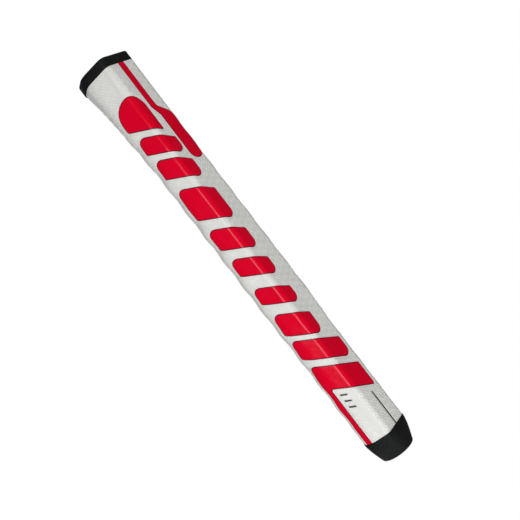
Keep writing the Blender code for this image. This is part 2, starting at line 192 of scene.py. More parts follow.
def tangent(ax, ay, ar, bx, by, br):
    """Angle of the outward normal, and length, of the line that touches two circles."""
    span = np.hypot(bx - ax, by - ay)
    angle = np.arctan2(by - ay, bx - ax) - np.arccos((ar - br) / span)
    return np.remainder(angle + math.pi, 2 * math.pi) - math.pi, np.sqrt(span**2 - (ar - br) ** 2)


def runs(values):
    """Two tangent angles, and where each run of half an outline ends.

    The runs are flat, corner, flank, side, rear and back.
    """
    front, corner_x, corner_r, side_x, side_y, side_r, back_y, back_r = np.moveaxis(values, -1, 0)
    to_side, flank = tangent(corner_x, corner_r - front, corner_r, side_x, side_y, side_r)
    to_back, rear = tangent(side_x, side_y, side_r, 0.0, back_y, back_r)
    lengths = [corner_x, corner_r * (to_side + math.pi / 2), flank]
    lengths += [side_r * (to_back - to_side), rear, back_r * (math.pi / 2 - to_back)]
    return to_side, to_back, np.cumsum(lengths, axis=0)


def half_girth(values):
    return runs(values)[2][-1]


def place(values, girth, lift=0.0):
    """x and y of points on outlines.

    girth is the distance round the outline from the front centre line, positive to the left side (-X),
    and lift is the height above the outline.
    """
    front, corner_x, corner_r, side_x, side_y, side_r, back_y, back_r = np.moveaxis(values, -1, 0)
    corner_y = corner_r - front
    to_side, to_back, ends = runs(values)
    s = np.abs(girth)
    on = [s <= ends[0], s <= ends[1], s <= ends[2], s <= ends[3], s <= ends[4]]
    angle = np.select(
        on,
        [0 * s - math.pi / 2, (s - ends[0]) / corner_r - math.pi / 2, to_side + 0 * s,
         to_side + (s - ends[2]) / side_r, to_back + 0 * s],
        to_back + (s - ends[4]) / back_r,
    )
    flank, rear = s - ends[1], s - ends[3]
    x = np.select(
        on,
        [s, corner_x + 0 * s, corner_x - flank * np.sin(to_side), side_x + 0 * s,
         side_x - rear * np.sin(to_back)],
        0.0,
    )
    y = np.select(
        on,
        [corner_y + 0 * s, corner_y + 0 * s, corner_y + flank * np.cos(to_side), side_y + 0 * s,
         side_y + rear * np.cos(to_back)],
        back_y + 0 * s,
    )
    radius = np.select(on, [corner_r + 0 * s] * 3 + [side_r + 0 * s] * 2, back_r + 0 * s) + lift
    x = x + radius * np.cos(angle)
    return np.where(girth > 0, -x, x), y + radius * np.sin(angle)


def ripple(girth, z):
    """Shallow moulded swells along the flanks and the thumb face's right edge."""
    side = smooth((np.abs(girth) - 21.0) / 5.0)
    edge = smooth((-girth - 8.0) / 3.0) * smooth((17.0 + girth) / 3.0)
    ends = smooth((z - 20.0) / 15.0) * smooth((235.0 - z) / 20.0)
    phase = 2 * math.pi * z / RIPPLE_PERIOD
    return ends * (RIPPLE_SIDE * side * np.sin(phase) + RIPPLE_EDGE * edge * np.sin(phase + 1.0))


def on_skin(girth, z, lift):
    """Points in metres, as an array with x, y and z along a new last axis."""
    girth, z, lift = (np.asarray(v, float) for v in (girth, z, lift))
    x, y = place(section(z), girth, lift + ripple(girth, z))
    return np.stack(np.broadcast_arrays(x, y, z), axis=-1) * MM


def at_seam(across, z, lift):
    """A point beside the rear seam: across is positive to the right side (+X)."""
    across, z = np.broadcast_arrays(np.asarray(across, float), np.asarray(z, float))
    half = half_girth(section(z))
    girth = np.where(across > 0, across - half, half + across)
    return on_skin(girth, z, lift)


# ---- Outlines of the printed fields, on the unrolled skin as (girth, height) ----


def rounded(corners):
    """A polygon's points with each corner (girth, height, radius) turned into an arc."""
    points = []
    for i, (x, y, r) in enumerate(corners):
        before, after = corners[i - 1], corners[(i + 1) % len(corners)]
        into = np.array((before[0] - x, before[1] - y))
        out = np.array((after[0] - x, after[1] - y))
        into /= np.hypot(*into)
        out /= np.hypot(*out)
        half = 0.5 * math.acos(max(-1.0, min(1.0, float(into @ out))))
        if r <= 0.0:
            points.append((x, y))
            continue
        back_off = r / math.tan(half)
        steps = max(4, round((math.pi - 2 * half) * r / 0.35))
        for t in np.linspace(0.0, 1.0, steps + 1):
            # A conic through the two touching points keeps the corner's direction at both ends.
            weights = np.array(((1 - t) ** 2, 2 * t * (1 - t) * math.sin(half), t**2))
            corner = np.array((x, y))
            stack = np.array((corner + into * back_off, corner, corner + out * back_off))
            points.append(tuple(weights @ stack / weights.sum()))
    return points


def on_slant(girth, ridge_height):
    """Height of a slanted edge that crosses the left front ridge at ridge_height."""
    return ridge_height + BAND_SLOPE * (girth - RIDGE)


def band(top, bottom, near, far, lean_r=4.0, keen_r=1.2):
    """A slanted bar between two ridge heights, from girth near (front) to girth far (side)."""
    return rounded([
        (near, on_slant(near, top), keen_r),
        (far, on_slant(far, top), lean_r),
        (far, on_slant(far, bottom), keen_r),
        (near, on_slant(near, bottom), lean_r),
    ])


def lead_bar():
    """The first bar, with a round butt end."""
    near, far, end, top = 4.4, 25.0, 220.8, 242.0
    corners = [(near, on_slant(near, end), 1.2), (near, top, 9.0), (far, top, 11.0)]
    corners.append((far, on_slant(far, end), 2.5))
    return rounded(corners)


def front_dart():
    """The centre stripe from the butt cap, widening into a round-ended lozenge on the thumb face."""
    half, shoulder, low = 2.35, 231.0, 194.5
    left, right = -0.2, -10.2
    corners = [(half, SKIN_TOP, 0.0), (half, shoulder, 0.0), (left, shoulder - 6.0, 1.5), (left, low, 5.0)]
    corners += [(right, low, 5.0), (right, shoulder - 7.0, 6.0), (-half, shoulder, 3.0)]
    corners.append((-half, SKIN_TOP, 0.0))
    return rounded(corners)


def tail_band():
    """The last bar, with the side stripe that runs on to the nose. Starts at the stripe's inner end."""
    near, far, inner = -6.3, 25.2, 20.4
    top, bottom = 62.5, 47.0
    corners = [(inner, SKIN_BOTTOM, 0.0), (inner, on_slant(inner, bottom), 1.0)]
    corners += [(near, on_slant(near, bottom), 1.2), (near, on_slant(near, top), 1.2)]
    corners += [(far, on_slant(far, top), 4.0), (far, SKIN_BOTTOM, 0.0)]
    return rounded(corners)


def sight_line():
    half, top = 0.35, 36.0
    return [(-half, SKIN_BOTTOM), (-half, top), (half, top), (half, SKIN_BOTTOM)]


def red_fields():
    """Node and outline of each red field. An outline that runs under a cap starts and ends there."""
    bars = ((216.9, 205.6), (201.9, 189.1), (182.1, 161.2), (154.8, 140.9))
    bars += ((135.0, 123.2), (115.2, 104.0), (97.5, 83.0))
    fields = {"inlay_front_dart": front_dart(), "inlay_lead_bar": lead_bar()}
    for number, (top, bottom) in enumerate(bars, 1):
        fields[f"inlay_bar_{number}"] = band(top, bottom, 0.8, 23.8)
    fields["inlay_long_bar"] = band(80.0, 66.8, -6.3, 24.6)
    fields["inlay_tail_bar"] = tail_band()
    return fields


def dash_outlines():
    """Three slanted dashes beside the tail stripe."""
    near, far, thick, lean = 14.6, 18.2, 0.9, 0.45
    rise = lean * (far - near)
    outlines = []
    for low in (43.6, 39.6, 35.6):
        high = low + thick
        outlines.append([(near, low), (far, low + rise), (far, high + rise), (near, high)])
    return outlines


def is_end(z):
    """Whether a height is at an end of the wrap, where a cap begins."""
    return (z > SKIN_TOP - SAME) | (z < SKIN_BOTTOM + SAME)


def resampled(outline, step=0.8):
    """The outline with long edges divided, except the edge at a cap, and with doubled points dropped."""
    points = []
    for a, b in zip(outline, outline[1:] + outline[:1]):
        if math.dist(a, b) < SAME:
            continue
        parts = 1 if is_end(a[1]) and is_end(b[1]) else max(1, math.ceil(math.dist(a, b) / step))
        points += [tuple(np.array(a) + (np.array(b) - a) * k / parts) for k in range(parts)]
    return points


def grown(outline, by):
    """The outline moved outwards by a distance. Points at a cap stay at their height."""
    ring = np.array(outline)
    following = np.roll(ring, -1, axis=0)
    before, after = ring - np.roll(ring, 1, axis=0), following - ring
    area = np.sum(ring[:, 0] * following[:, 1] - ring[:, 1] * following[:, 0])
    turn = 1.0 if area > 0 else -1.0
    normal = np.zeros_like(ring)
    for run in (before, after):
        run = run / np.hypot(run[:, 0], run[:, 1])[:, None]
        normal += turn * np.stack((run[:, 1], -run[:, 0]), axis=1)
    scale = 2.0 * by / np.maximum(0.5, np.sum(normal**2, axis=1))
    moved = ring + normal * scale[:, None]
    ends = is_end(ring[:, 1])
    moved[ends, 1] = ring[ends, 1]
    return moved


def signed_distance(outline, girth, z):
    """Distance of each point to the outline, negative inside it."""
    a = np.array(outline)
    b = np.roll(a, -1, axis=0)
    px, py = girth[:, None], z[:, None]
    ax, ay, bx, by = a[:, 0], a[:, 1], b[:, 0], b[:, 1]
    along = ((px - ax) * (bx - ax) + (py - ay) * (by - ay)) / ((bx - ax) ** 2 + (by - ay) ** 2)
    along = np.clip(along, 0.0, 1.0)
    distance = np.hypot(px - ax - along * (bx - ax), py - ay - along * (by - ay)).min(axis=1)
    crossing = (ay > py) != (by > py)
    with np.errstate(divide="ignore", invalid="ignore"):
        crossing &= px < (bx - ax) * (py - ay) / (by - ay) + ax
    inside = crossing.sum(axis=1) % 2 == 1
    return np.where(inside, -distance, distance)


# ---- Materials ----


class Shader:
    """A Principled material with short helpers for its nodes."""

    def __init__(self, name, roughness, specular):
        self.material = bpy.data.materials.new(name)
        self.material.use_nodes = True
        self.tree = self.material.node_tree
        self.surface = self.tree.nodes["Principled BSDF"]
        self.surface.inputs["Roughness"].default_value = roughness
        self.surface.inputs["Specular IOR Level"].default_value = specular
        self.place = self.tree.nodes.new("ShaderNodeTexCoord").outputs["Object"]

    def node(self, kind, inputs=(), **settings):
        node = self.tree.nodes.new(kind)
        for key, value in settings.items():
            setattr(node, key, value)
        for socket, value in dict(inputs).items():
            if isinstance(value, bpy.types.NodeSocket):
                self.tree.links.new(value, node.inputs[socket])
            else:
                node.inputs[socket].default_value = value
        return node

    def noise(self, size, detail=3.0, stretch=None):
        """Noise with features of about that size in millimetres."""
        where = self.place
        if stretch:
            mapping = self.node("ShaderNodeMapping", {"Vector": self.place, "Scale": stretch})
            where = mapping.outputs["Vector"]
        inputs = {"Vector": where, "Scale": 1.0 / (size * MM), "Detail": detail}
        return self.node("ShaderNodeTexNoise", inputs).outputs["Fac"]

    def cells(self, size):
        """Distance to the middle of the nearest cell, with cells of about that size in millimetres."""
        inputs = {"Vector": self.place, "Scale": 1.0 / (size * MM)}
        return self.node("ShaderNodeTexVoronoi", inputs).outputs["Distance"]

    def ranged(self, value, low, high, start=0.35, stop=0.65):
        """A value whose range from start to stop is spread from low to high."""
        inputs = {"Value": value, "From Min": start, "From Max": stop, "To Min": low, "To Max": high}
        return self.node("ShaderNodeMapRange", inputs).outputs["Result"]

    def attribute(self, name):
        return self.node("ShaderNodeAttribute", attribute_name=name).outputs["Fac"]

    def mixed(self, share, one, other):
        """Colour between one and other, each a colour or a socket."""
        node = self.node("ShaderNodeMix", data_type="RGBA")
        self.tree.links.new(share, node.inputs["Factor"])
        for socket, colour in ((6, one), (7, other)):
            if isinstance(colour, bpy.types.NodeSocket):
                self.tree.links.new(colour, node.inputs[socket])
            else:
                node.inputs[socket].default_value = (*colour, 1.0)
        return node.outputs[2]

    def colour(self, socket):
        self.tree.links.new(socket, self.surface.inputs["Base Color"])

    def roughness(self, socket):
        self.tree.links.new(socket, self.surface.inputs["Roughness"])

    def bump(self, *layers):
        """Layers are (height socket, depth in millimetres)."""
        normal = None
        for height, depth in layers:
            inputs = {"Height": height, "Distance": depth * MM, "Strength": 1.0}
            if normal:
                inputs["Normal"] = normal
            normal = self.node("ShaderNodeBump", inputs).outputs["Normal"]
        self.tree.links.new(normal, self.surface.inputs["Normal"])


def skin_material():
    """White embossed polyurethane: fine pores, a painted highlight on the embossing's crests and painted
    shade in its grooves.
    """
    m = Shader("white_polyurethane", 0.5, 0.32)
    white = m.mixed(m.ranged(m.noise(9.0), 0.0, 1.0), (0.80, 0.80, 0.765), (0.75, 0.755, 0.72))
    speckled = m.mixed(m.ranged(m.noise(0.45, 2.0), 0.0, 0.35, 0.45, 0.75), white, (0.58, 0.58, 0.55))
    # Painted highlight on the embossing's crests and painted shade in its grooves, from the point
    # attribute.
    crest_highlight = m.ranged(m.attribute("painted_emboss_shading"), 0.0, 1.0, 0.0, 0.55)
    groove_shade = m.ranged(m.attribute("painted_emboss_shading"), 0.0, 1.0, 0.0, -0.16)
    m.colour(m.mixed(groove_shade, m.mixed(crest_highlight, speckled, (1.0, 1.0, 0.98)), (0.52, 0.52, 0.495)))
    m.roughness(m.ranged(m.noise(1.2), 0.40, 0.58))
    m.bump((m.noise(0.9, 4.0), 0.035), (m.cells(0.32), 0.02))
    return m.material


def print_material(name, colour, shade, roughness, specular):
    """Glossy printed fill: fine pigment grain under a slightly uneven varnish."""
    m = Shader(name, roughness, specular)
    grain = m.mixed(m.ranged(m.noise(0.25, 2.0), 0.0, 0.5), colour, shade)
    m.colour(m.mixed(m.ranged(m.noise(14.0), 0.0, 0.6), grain, shade))
    m.roughness(m.ranged(m.noise(2.2), roughness - 0.03, roughness + 0.06))
    m.bump((m.noise(2.4, 2.0), 0.004), (m.noise(0.35, 2.0), 0.002))
    return m.material


def rubber_material():
    """Moulded black rubber: fine spark-eroded grain, dusty grey in random specks."""
    m = Shader("black_rubber", 0.55, 0.12)
    black = m.mixed(m.ranged(m.noise(5.0), 0.0, 1.0), (0.0050, 0.0060, 0.0057), (0.0080, 0.0092, 0.0088))
    m.colour(m.mixed(m.ranged(m.noise(0.4, 4.0), 0.0, 0.7, 0.52, 0.75), black, (0.020, 0.022, 0.021)))
    m.roughness(m.ranged(m.noise(1.5), 0.46, 0.64))
    m.bump((m.cells(0.55), 0.03), (m.noise(0.3, 4.0), 0.03))
    return m.material


def foam_material():
    """Closed-cell EVA foam."""
    m = Shader("eva_foam", 0.9, 0.2)
    m.colour(m.mixed(m.ranged(m.cells(0.7), 0.0, 1.0, 0.0, 0.6), (0.075, 0.075, 0.08), (0.13, 0.13, 0.135)))
    m.roughness(m.ranged(m.noise(1.0), 0.82, 0.96))
    m.bump((m.cells(0.7), 0.12), (m.noise(0.25), 0.03))
    return m.material


def felt_material():
    """Non-woven felt: short fibres that lie every way."""
    m = Shader("backing_felt", 0.95, 0.1)
    one_way = m.noise(0.6, 5.0, stretch=(1.0, 1.0, 0.15))
    other_way = m.noise(0.6, 5.0, stretch=(0.2, 0.2, 1.0))
    m.colour(m.mixed(m.ranged(one_way, 0.0, 1.0), (0.50, 0.50, 0.47), (0.64, 0.64, 0.61)))
    m.roughness(m.ranged(other_way, 0.88, 1.0))
    m.bump((one_way, 0.08), (other_way, 0.08))
    m.surface.inputs["Sheen Weight"].default_value = 0.3
    return m.material


def sealer_material():
    """Clear-white seam sealer, smeared along the slit."""
    m = Shader("seam_sealer", 0.3, 0.5)
    m.colour(m.mixed(m.ranged(m.noise(3.0), 0.0, 1.0), (0.66, 0.66, 0.61), (0.56, 0.55, 0.50)))
    m.roughness(m.ranged(m.noise(1.0, stretch=(1.0, 1.0, 0.3)), 0.22, 0.42))
    m.bump((m.noise(1.1, 3.0, stretch=(1.0, 1.0, 0.3)), 0.05))
    return m.material


def thread_material():
    """Spun polyester: pale, with fibres along the plies."""
    m = Shader("sewing_thread", 0.75, 0.25)
    m.colour(m.mixed(m.ranged(m.noise(0.12, 4.0), 0.0, 1.0), (0.66, 0.66, 0.62), (0.82, 0.82, 0.79)))
    m.roughness(m.ranged(m.noise(0.5), 0.65, 0.85))
    m.bump((m.noise(0.09, 4.0), 0.02))
    m.surface.inputs["Sheen Weight"].default_value = 0.2
    return m.material


# ---- Meshes ----


def finish_piece(mesh, bm, materials, sharp=40.0):
    """Turn a bmesh's faces outwards, and make it a shaded object that rides the frame's one body."""
    bmesh.ops.recalc_face_normals(bm, faces=bm.faces)
    bm.to_mesh(mesh)
    bm.free()
    mesh.shade_smooth()
    mesh.set_sharp_from_angle(angle=math.radians(sharp))
    for material in materials:
        mesh.materials.append(material)
    piece = bpy.data.objects.new(mesh.name, mesh)
    bpy.context.scene.collection.objects.link(piece)
    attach(piece, "root")
    return piece


def add_object(name, points, faces, materials, sharp=40.0):
    """A closed mesh from points in metres."""
    mesh = bpy.data.meshes.new(name)
    mesh.from_pydata(np.asarray(points).reshape(-1, 3).tolist(), [], faces)
    bm = bmesh.new()
    bm.from_mesh(mesh)
    return finish_piece(mesh, bm, materials, sharp)


def ring_faces(rings, count, closed=False, is_open=False):
    """Quads between rings of count points.

    closed joins the last ring to the first, and is_open leaves each ring's last point apart from its first.
    """
    faces = []
    for r in range(rings if closed else rings - 1):
        a, b = r * count, (r + 1) % rings * count
        for i in range(count - 1 if is_open else count):
            j = (i + 1) % count
            faces.append((a + i, a + j, b + j, b + i))
    return faces


def ring_loft(name, rings, material, sharp=40.0):
    """A tube-like solid: each ring is joined to the next, and the last to the first."""
    faces = ring_faces(len(rings), len(rings[0]), closed=True)
    return add_object(name, np.array(rings) * MM, faces, [material], sharp)


def grid_faces(rows, columns, start=0, flip=False):
    """Quads of a grid of points stored row by row."""
    faces = []
    for r in range(rows - 1):
        a = start + r * columns
        for i in range(a, a + columns - 1):
            quad = (i, i + 1, i + columns + 1, i + columns)
            faces.append(quad[::-1] if flip else quad)
    return faces


def section_ring(z, inset=0.0, values=None):
    """Evenly spaced points round a section, starting at the back."""
    values = section(z) if values is None else values
    half = float(half_girth(values))
    girth = np.linspace(-half, half, AROUND, endpoint=False)
    x, y = place(values, girth, -inset)
    return np.stack((x, y, 0 * x + z), axis=-1)


def round_ring(r, z):
    """Evenly spaced points round a circle, starting at the back."""
    angle = math.pi / 2 - 2 * math.pi * np.arange(AROUND) / AROUND
    return np.stack((r * np.cos(angle), r * np.sin(angle), 0 * angle + z), axis=-1)


def facing_ring(r, z, like):
    """A circle whose points face the same way as those of another ring."""
    angle = np.arctan2(like[:, 1], like[:, 0])
    return np.stack((r * np.cos(angle), r * np.sin(angle), 0 * angle + z), axis=-1)


def make_core(material):
    """The foam body, with the shaft's bore through it."""
    levels = [CORE_BOTTOM] + list(np.arange(24.0, WRAP_TOP, 4.0)) + [WRAP_TOP]
    rings = [section_ring(z, CORE_OUTSIDE) for z in levels]
    rings += [round_ring(BORE_TOP_R, WRAP_TOP), round_ring(BORE_MOUTH_R, CORE_BOTTOM)]
    core = ring_loft("foam_underlisting", rings, material)
    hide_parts("core_sleeve")


def make_felt(material):
    """The felt, butted at the back."""
    levels = np.concatenate(([WRAP_BOTTOM], np.arange(18.0, WRAP_TOP, 4.0), [WRAP_TOP]))[:, None]
    columns = 121
    half = half_girth(section(levels)) - 0.3
    girth = half * np.linspace(-1.0, 1.0, columns)[None, :]
    outer = on_skin(girth, levels, -FELT_OUTSIDE).reshape(-1, 3)
    inner = on_skin(girth, levels, -FELT_OUTSIDE - FELT).reshape(-1, 3)
    rows = len(levels)
    count = rows * columns
    faces = grid_faces(rows, columns) + grid_faces(rows, columns, count, True)
    for r in range(rows - 1):
        a, b = r * columns, (r + 1) * columns
        faces.append((a, b, b + count, a + count))
        faces.append((b - 1, b - 1 + count, b + columns - 1 + count, b + columns - 1))
    for a in (0, count - columns):
        faces += [(i, i + 1, i + 1 + count, i + count) for i in range(a, a + columns - 1)]
    felt = add_object("felt_layer", np.concatenate((outer, inner)), faces, [material])
    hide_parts("felt_backing")


def emboss(girth, z):
    """Height of the diamond embossing, from 0 to 1, where nothing else fades it."""
    one = 1.0 - np.cos(2 * math.pi * (girth + z) / DIAMOND)
    other = 1.0 - np.cos(2 * math.pi * (girth - z) / DIAMOND)
    return one * other / 4.0


def emboss_strength(girth, z):
    """Strong on the thumb face and round the back, fainter on the flanks, and none along the ridges."""
    face_end, flank_start, back_start = 10.8, 14.0, 24.0
    s = np.abs(girth)
    face = smooth((face_end - s) / 2.0)
    flank = 0.5 * smooth((s - flank_start) / 2.0)
    back = smooth((s - back_start) / 3.0)
    clusters = np.cos(2 * math.pi * z / CLUSTER_STEP) * np.cos(2 * math.pi * girth / CLUSTER_ROWS)
    faintest = 0.12
    gathered = faintest + (1.0 - faintest) * smooth(0.5 + 0.7 * clusters)
    return np.maximum(np.maximum(face, flank), back) * gathered


def channel_lift(across):
    """Depth of the sewing channel, with a slight lip at its edge."""
    edge = (np.abs(across) - CHANNEL_FLOOR_HALF) / (CHANNEL_HALF - CHANNEL_FLOOR_HALF)
    lip = 0.07 * np.exp(-(((np.abs(across) - CHANNEL_HALF - 0.35) / 0.3) ** 2))
    return lip - CHANNEL_DEPTH * (1.0 - smooth(edge))


def skin_columns(half):
    """Girth of each column at each height: even steps in front, then spread to the channel's edge."""
    even = np.arange(0.0, EVEN_GIRTH + GRID / 2, GRID)
    edge = half - CHANNEL_HALF - 0.7
    spread = EVEN_GIRTH + (edge - EVEN_GIRTH) * np.linspace(0.0, 1.0, REAR_COLUMNS + 1)[1:]
    channel = half - np.array(SEAM_COLUMNS)
    side = np.concatenate((np.broadcast_to(even, (len(half), len(even))), spread, channel), axis=1)
    return np.concatenate((-side[:, :0:-1], side), axis=1)


def make_skin(outlines, material):
    """The wrap: its outside is a fine grid, its hidden inside a coarse one.

    Its point attribute is positive on the embossing's crests, where it paints a highlight, and negative in
    its grooves, where it paints shade.
    """
    z = np.concatenate(([SKIN_BOTTOM], np.arange(15.0, SKIN_TOP - 0.2, GRID), [SKIN_TOP]))[:, None]
    half = half_girth(section(z))
    girth = skin_columns(half)
    rows, columns = girth.shape
    level = np.broadcast_to(z, girth.shape)
    nearest = np.full(girth.shape, 9.0)
    for outline in outlines:
        g, h = np.array(outline).T
        near = (girth > g.min() - 3) & (girth < g.max() + 3) & (level > h.min() - 3) & (level < h.max() + 3)
        distance = signed_distance(outline, girth[near], level[near])
        nearest[near] = np.minimum(nearest[near], distance)
    seam = smooth((half - np.abs(girth) - 2.2) / 1.0)
    ends = smooth((level - SKIN_BOTTOM - 0.5) / 1.5) * smooth((SKIN_TOP - 0.5 - level) / 1.5)
    strength = emboss_strength(girth, level) * smooth((nearest - 0.7) / 1.3) * seam * ends
    height = emboss(girth, level)
    # Painted light for the colour: positive paints a highlight on the crests, negative paints shade in the
    # grooves.
    painted_emboss_shading = (height - EMBOSS_PLAIN) * strength
    pocket = (INLAY + 0.06) * smooth((0.3 - nearest) / 0.3)
    lift = EMBOSS_DEPTH * height * strength + channel_lift(half - np.abs(girth)) - pocket
    outer = on_skin(girth, level, lift).reshape(-1, 3)
    coarse = list(range(0, rows - 1, 8)) + [rows - 1]
    inner = on_skin(girth[coarse], level[coarse], -SKIN - 0 * girth[coarse]).reshape(-1, 3)
    count = rows * columns
    faces = grid_faces(rows, columns) + grid_faces(len(coarse), columns, count, True)
    for k, (low, high) in enumerate(zip(coarse, coarse[1:])):
        for side in (0, columns - 1):
            wall = [r * columns + side for r in range(low, high + 1)]
            wall += [count + (k + 1) * columns + side, count + k * columns + side]
            faces.append(wall)
    for a, b in ((0, count), (count - columns, count + (len(coarse) - 1) * columns)):
        faces += [(a + i, a + i + 1, b + i + 1, b + i) for i in range(columns - 1)]
    skin = add_object("embossed_wrap", np.concatenate((outer, inner)), faces, [material], 60.0)
    shading_attribute = skin.data.attributes.new("painted_emboss_shading", "FLOAT", "POINT")
    shown = np.concatenate((painted_emboss_shading.ravel(), np.zeros(len(inner))))
    shading_attribute.data.foreach_set("value", shown)
    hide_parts("pu_skin")


def flat_cuts(low, high):
    """Planes that divide a flat field finely enough to bend round the ridges."""
    girths = [g for g in np.arange(-15.0, 26.0, 0.5) if abs(abs(g) - 11.0) < 4.3]
    girths += list(np.arange(-6.0, 6.1, 2.0)) + list(np.arange(16.0, 25.6, 0.9))
    cuts = [((g, 0.0, 0.0), (1.0, 0.0, 0.0)) for g in girths]
    return cuts + [((0.0, z, 0.0), (0.0, 1.0, 0.0)) for z in np.arange(low + 3.0, high - 1.0, 4.0)]


def field_object(name, outlines, profile, edge_rings, materials):
    """Closed plates that follow the skin inside their outlines. Their edges take the second material, which
    paints shade along the groove round the field.
    """
    bm = bmesh.new()
    for outline in outlines:
        rings = []
        for by, height in profile:
            rings.append([bm.verts.new((g, z, height)) for g, z in grown(outline, by)])
        count = len(outline)
        for k, (a, b) in enumerate(zip(rings, rings[1:])):
            for i in range(count):
                j = (i + 1) % count
                face = bm.faces.new((a[i], a[j], b[j], b[i]))
                # The rings just below the top take the second material: painted shade on the edge that
                # drops into the groove.
                face.material_index = 1 if 0 < k < edge_rings else 0
        bm.faces.new(rings[-1])
        bm.faces.new(rings[0][::-1])
    heights = [z for outline in outlines for _, z in outline]
    for where, normal in flat_cuts(min(heights), max(heights)):
        geometry = bm.verts[:] + bm.edges[:] + bm.faces[:]
        bmesh.ops.bisect_plane(bm, geom=geometry, dist=1e-5, plane_co=where, plane_no=normal)
    bmesh.ops.triangulate(bm, faces=[f for f in bm.faces if len(f.verts) > 4])
    flat = np.array([v.co for v in bm.verts])
    for vert, point in zip(bm.verts, on_skin(flat[:, 0], flat[:, 1], flat[:, 2])):
        vert.co = point
    return finish_piece(bpy.data.meshes.new(name), bm, materials)


def rim_object(name, outline, material):
    """The raised line of white skin round a field. It stops where the field runs under a cap."""
    rings = [on_skin(*grown(outline, by).T, height) for by, height in RIM_PROFILE]
    count, levels = len(outline), len(rings)
    is_open = is_end(outline[0][1])
    faces = ring_faces(levels, count, closed=True, is_open=is_open)
    if is_open:
        faces.append([k * count for k in range(levels)])
        faces.append([k * count + count - 1 for k in range(levels)][::-1])
    rim = add_object(name, np.concatenate(rings), faces, [material], 60.0)


def make_fields(skin_finish, red, edge_shade, black):
    """Every printed field with its raised line. Returns the outlines that the skin leaves room for."""
    outlines = {node: resampled(outline) for node, outline in red_fields().items()}
    for node, outline in outlines.items():
        name = node.replace("inlay", "print")
        piece = field_object(name, [outline], FIELD_PROFILE, EDGE_RINGS, [red, edge_shade])
        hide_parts(node)
        rim_object(node.replace("inlay", "rim"), outline, skin_finish)
    line = resampled(sight_line())
    piece = field_object("print_sight_line", [line], DASH_PROFILE, 0, [black])
    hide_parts("inlay_sight_line")
    dashes = [resampled(outline) for outline in dash_outlines()]
    field_object("print_dashes", dashes, DASH_PROFILE, 0, [black])
    return list(outlines.values())


def make_sealant(material):
    """Domed bead along the slit."""
    levels = np.concatenate(([WRAP_BOTTOM + 0.2], np.arange(16.0, WRAP_TOP - 1.0, 1.5), [WRAP_TOP - 0.2]))
    across = np.linspace(-SLIT_HALF - 0.02, SLIT_HALF + 0.02, 9)
    dome = -0.62 + 0.14 * np.cos(across / SLIT_HALF * math.pi / 2)
    swell = 0.03 * np.sin(levels * 1.9) + 0.02 * np.sin(levels * 0.73)
    outer = at_seam(across[None, :], levels[:, None], dome[None, :] + swell[:, None])
    inner = at_seam(across[None, ::-1], levels[:, None], -SKIN + 0.0 * swell[:, None])
    points = np.concatenate((outer, inner), axis=1)
    rows, columns = points.shape[:2]
    faces = ring_faces(rows, columns)
    faces += [list(range(columns))[::-1], list(range((rows - 1) * columns, rows * columns))]
    bead = add_object("sealer_bead", points, faces, [material])
    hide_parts("seam_sealant")


def stitch_path():
    """Centre line of the thread: to and fro across the slit, diving into a needle hole at each side."""
    count = int((WRAP_TOP - WRAP_BOTTOM - 4.0) / STITCH_STEP)
    start = 0.5 * (WRAP_TOP + WRAP_BOTTOM - count * STITCH_STEP)
    steps = 14
    t = np.arange(count * steps + 1) / steps
    share = 0.4 * smooth(t % 1.0) + 0.6 * (t % 1.0)
    side = np.where(np.floor(t) % 2 == 0, 1.0, -1.0)
    across = STITCH_HALF * side * (2 * share - 1)
    rise = np.minimum(1.0, np.minimum(share, 1 - share) / 0.16)
    return at_seam(across, start + STITCH_STEP * t, -0.92 + 0.72 * np.sqrt(rise))


def across_path(path):
    """Two unit vectors square to a path at each of its points."""
    along = np.gradient(path, axis=0)
    along /= np.linalg.norm(along, axis=1)[:, None]
    first = np.cross(along, (0.0, 1.0, 0.0))
    first /= np.linalg.norm(first, axis=1)[:, None]
    return first, np.cross(along, first)


def tube(path, radius, sides):
    """Rings of points round a path, and the quads between them, with both ends capped."""
    first, second = across_path(path)
    angle = 2 * math.pi * np.arange(sides) / sides
    around = np.cos(angle)[None, :, None] * first[:, None] + np.sin(angle)[None, :, None] * second[:, None]
    points = (path[:, None] + radius * around).reshape(-1, 3)
    faces = ring_faces(len(path), sides)
    faces += [list(range(sides))[::-1], list(range(len(points) - sides, len(points)))]
    return points, faces


def make_thread(material):
    """Two plies twisted round the stitch path."""
    centre = stitch_path()
    length = np.concatenate(([0.0], np.cumsum(np.linalg.norm(np.diff(centre, axis=0), axis=1))))
    first, second = across_path(centre)
    points, faces = [], []
    for ply in (0.0, math.pi):
        turn = (2 * math.pi * length / (TWIST_PITCH * MM) + ply)[:, None]
        path = centre + PLY_OFFSET * MM * (np.cos(turn) * first + np.sin(turn) * second)
        ply_points, ply_faces = tube(path, PLY_R * MM, 7)
        start = len(points) * len(ply_points)
        points.append(ply_points)
        faces += [[i + start for i in face] for face in ply_faces]
    thread = add_object("twisted_thread", np.concatenate(points), faces, [material], 80.0)
    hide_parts("seam_thread")


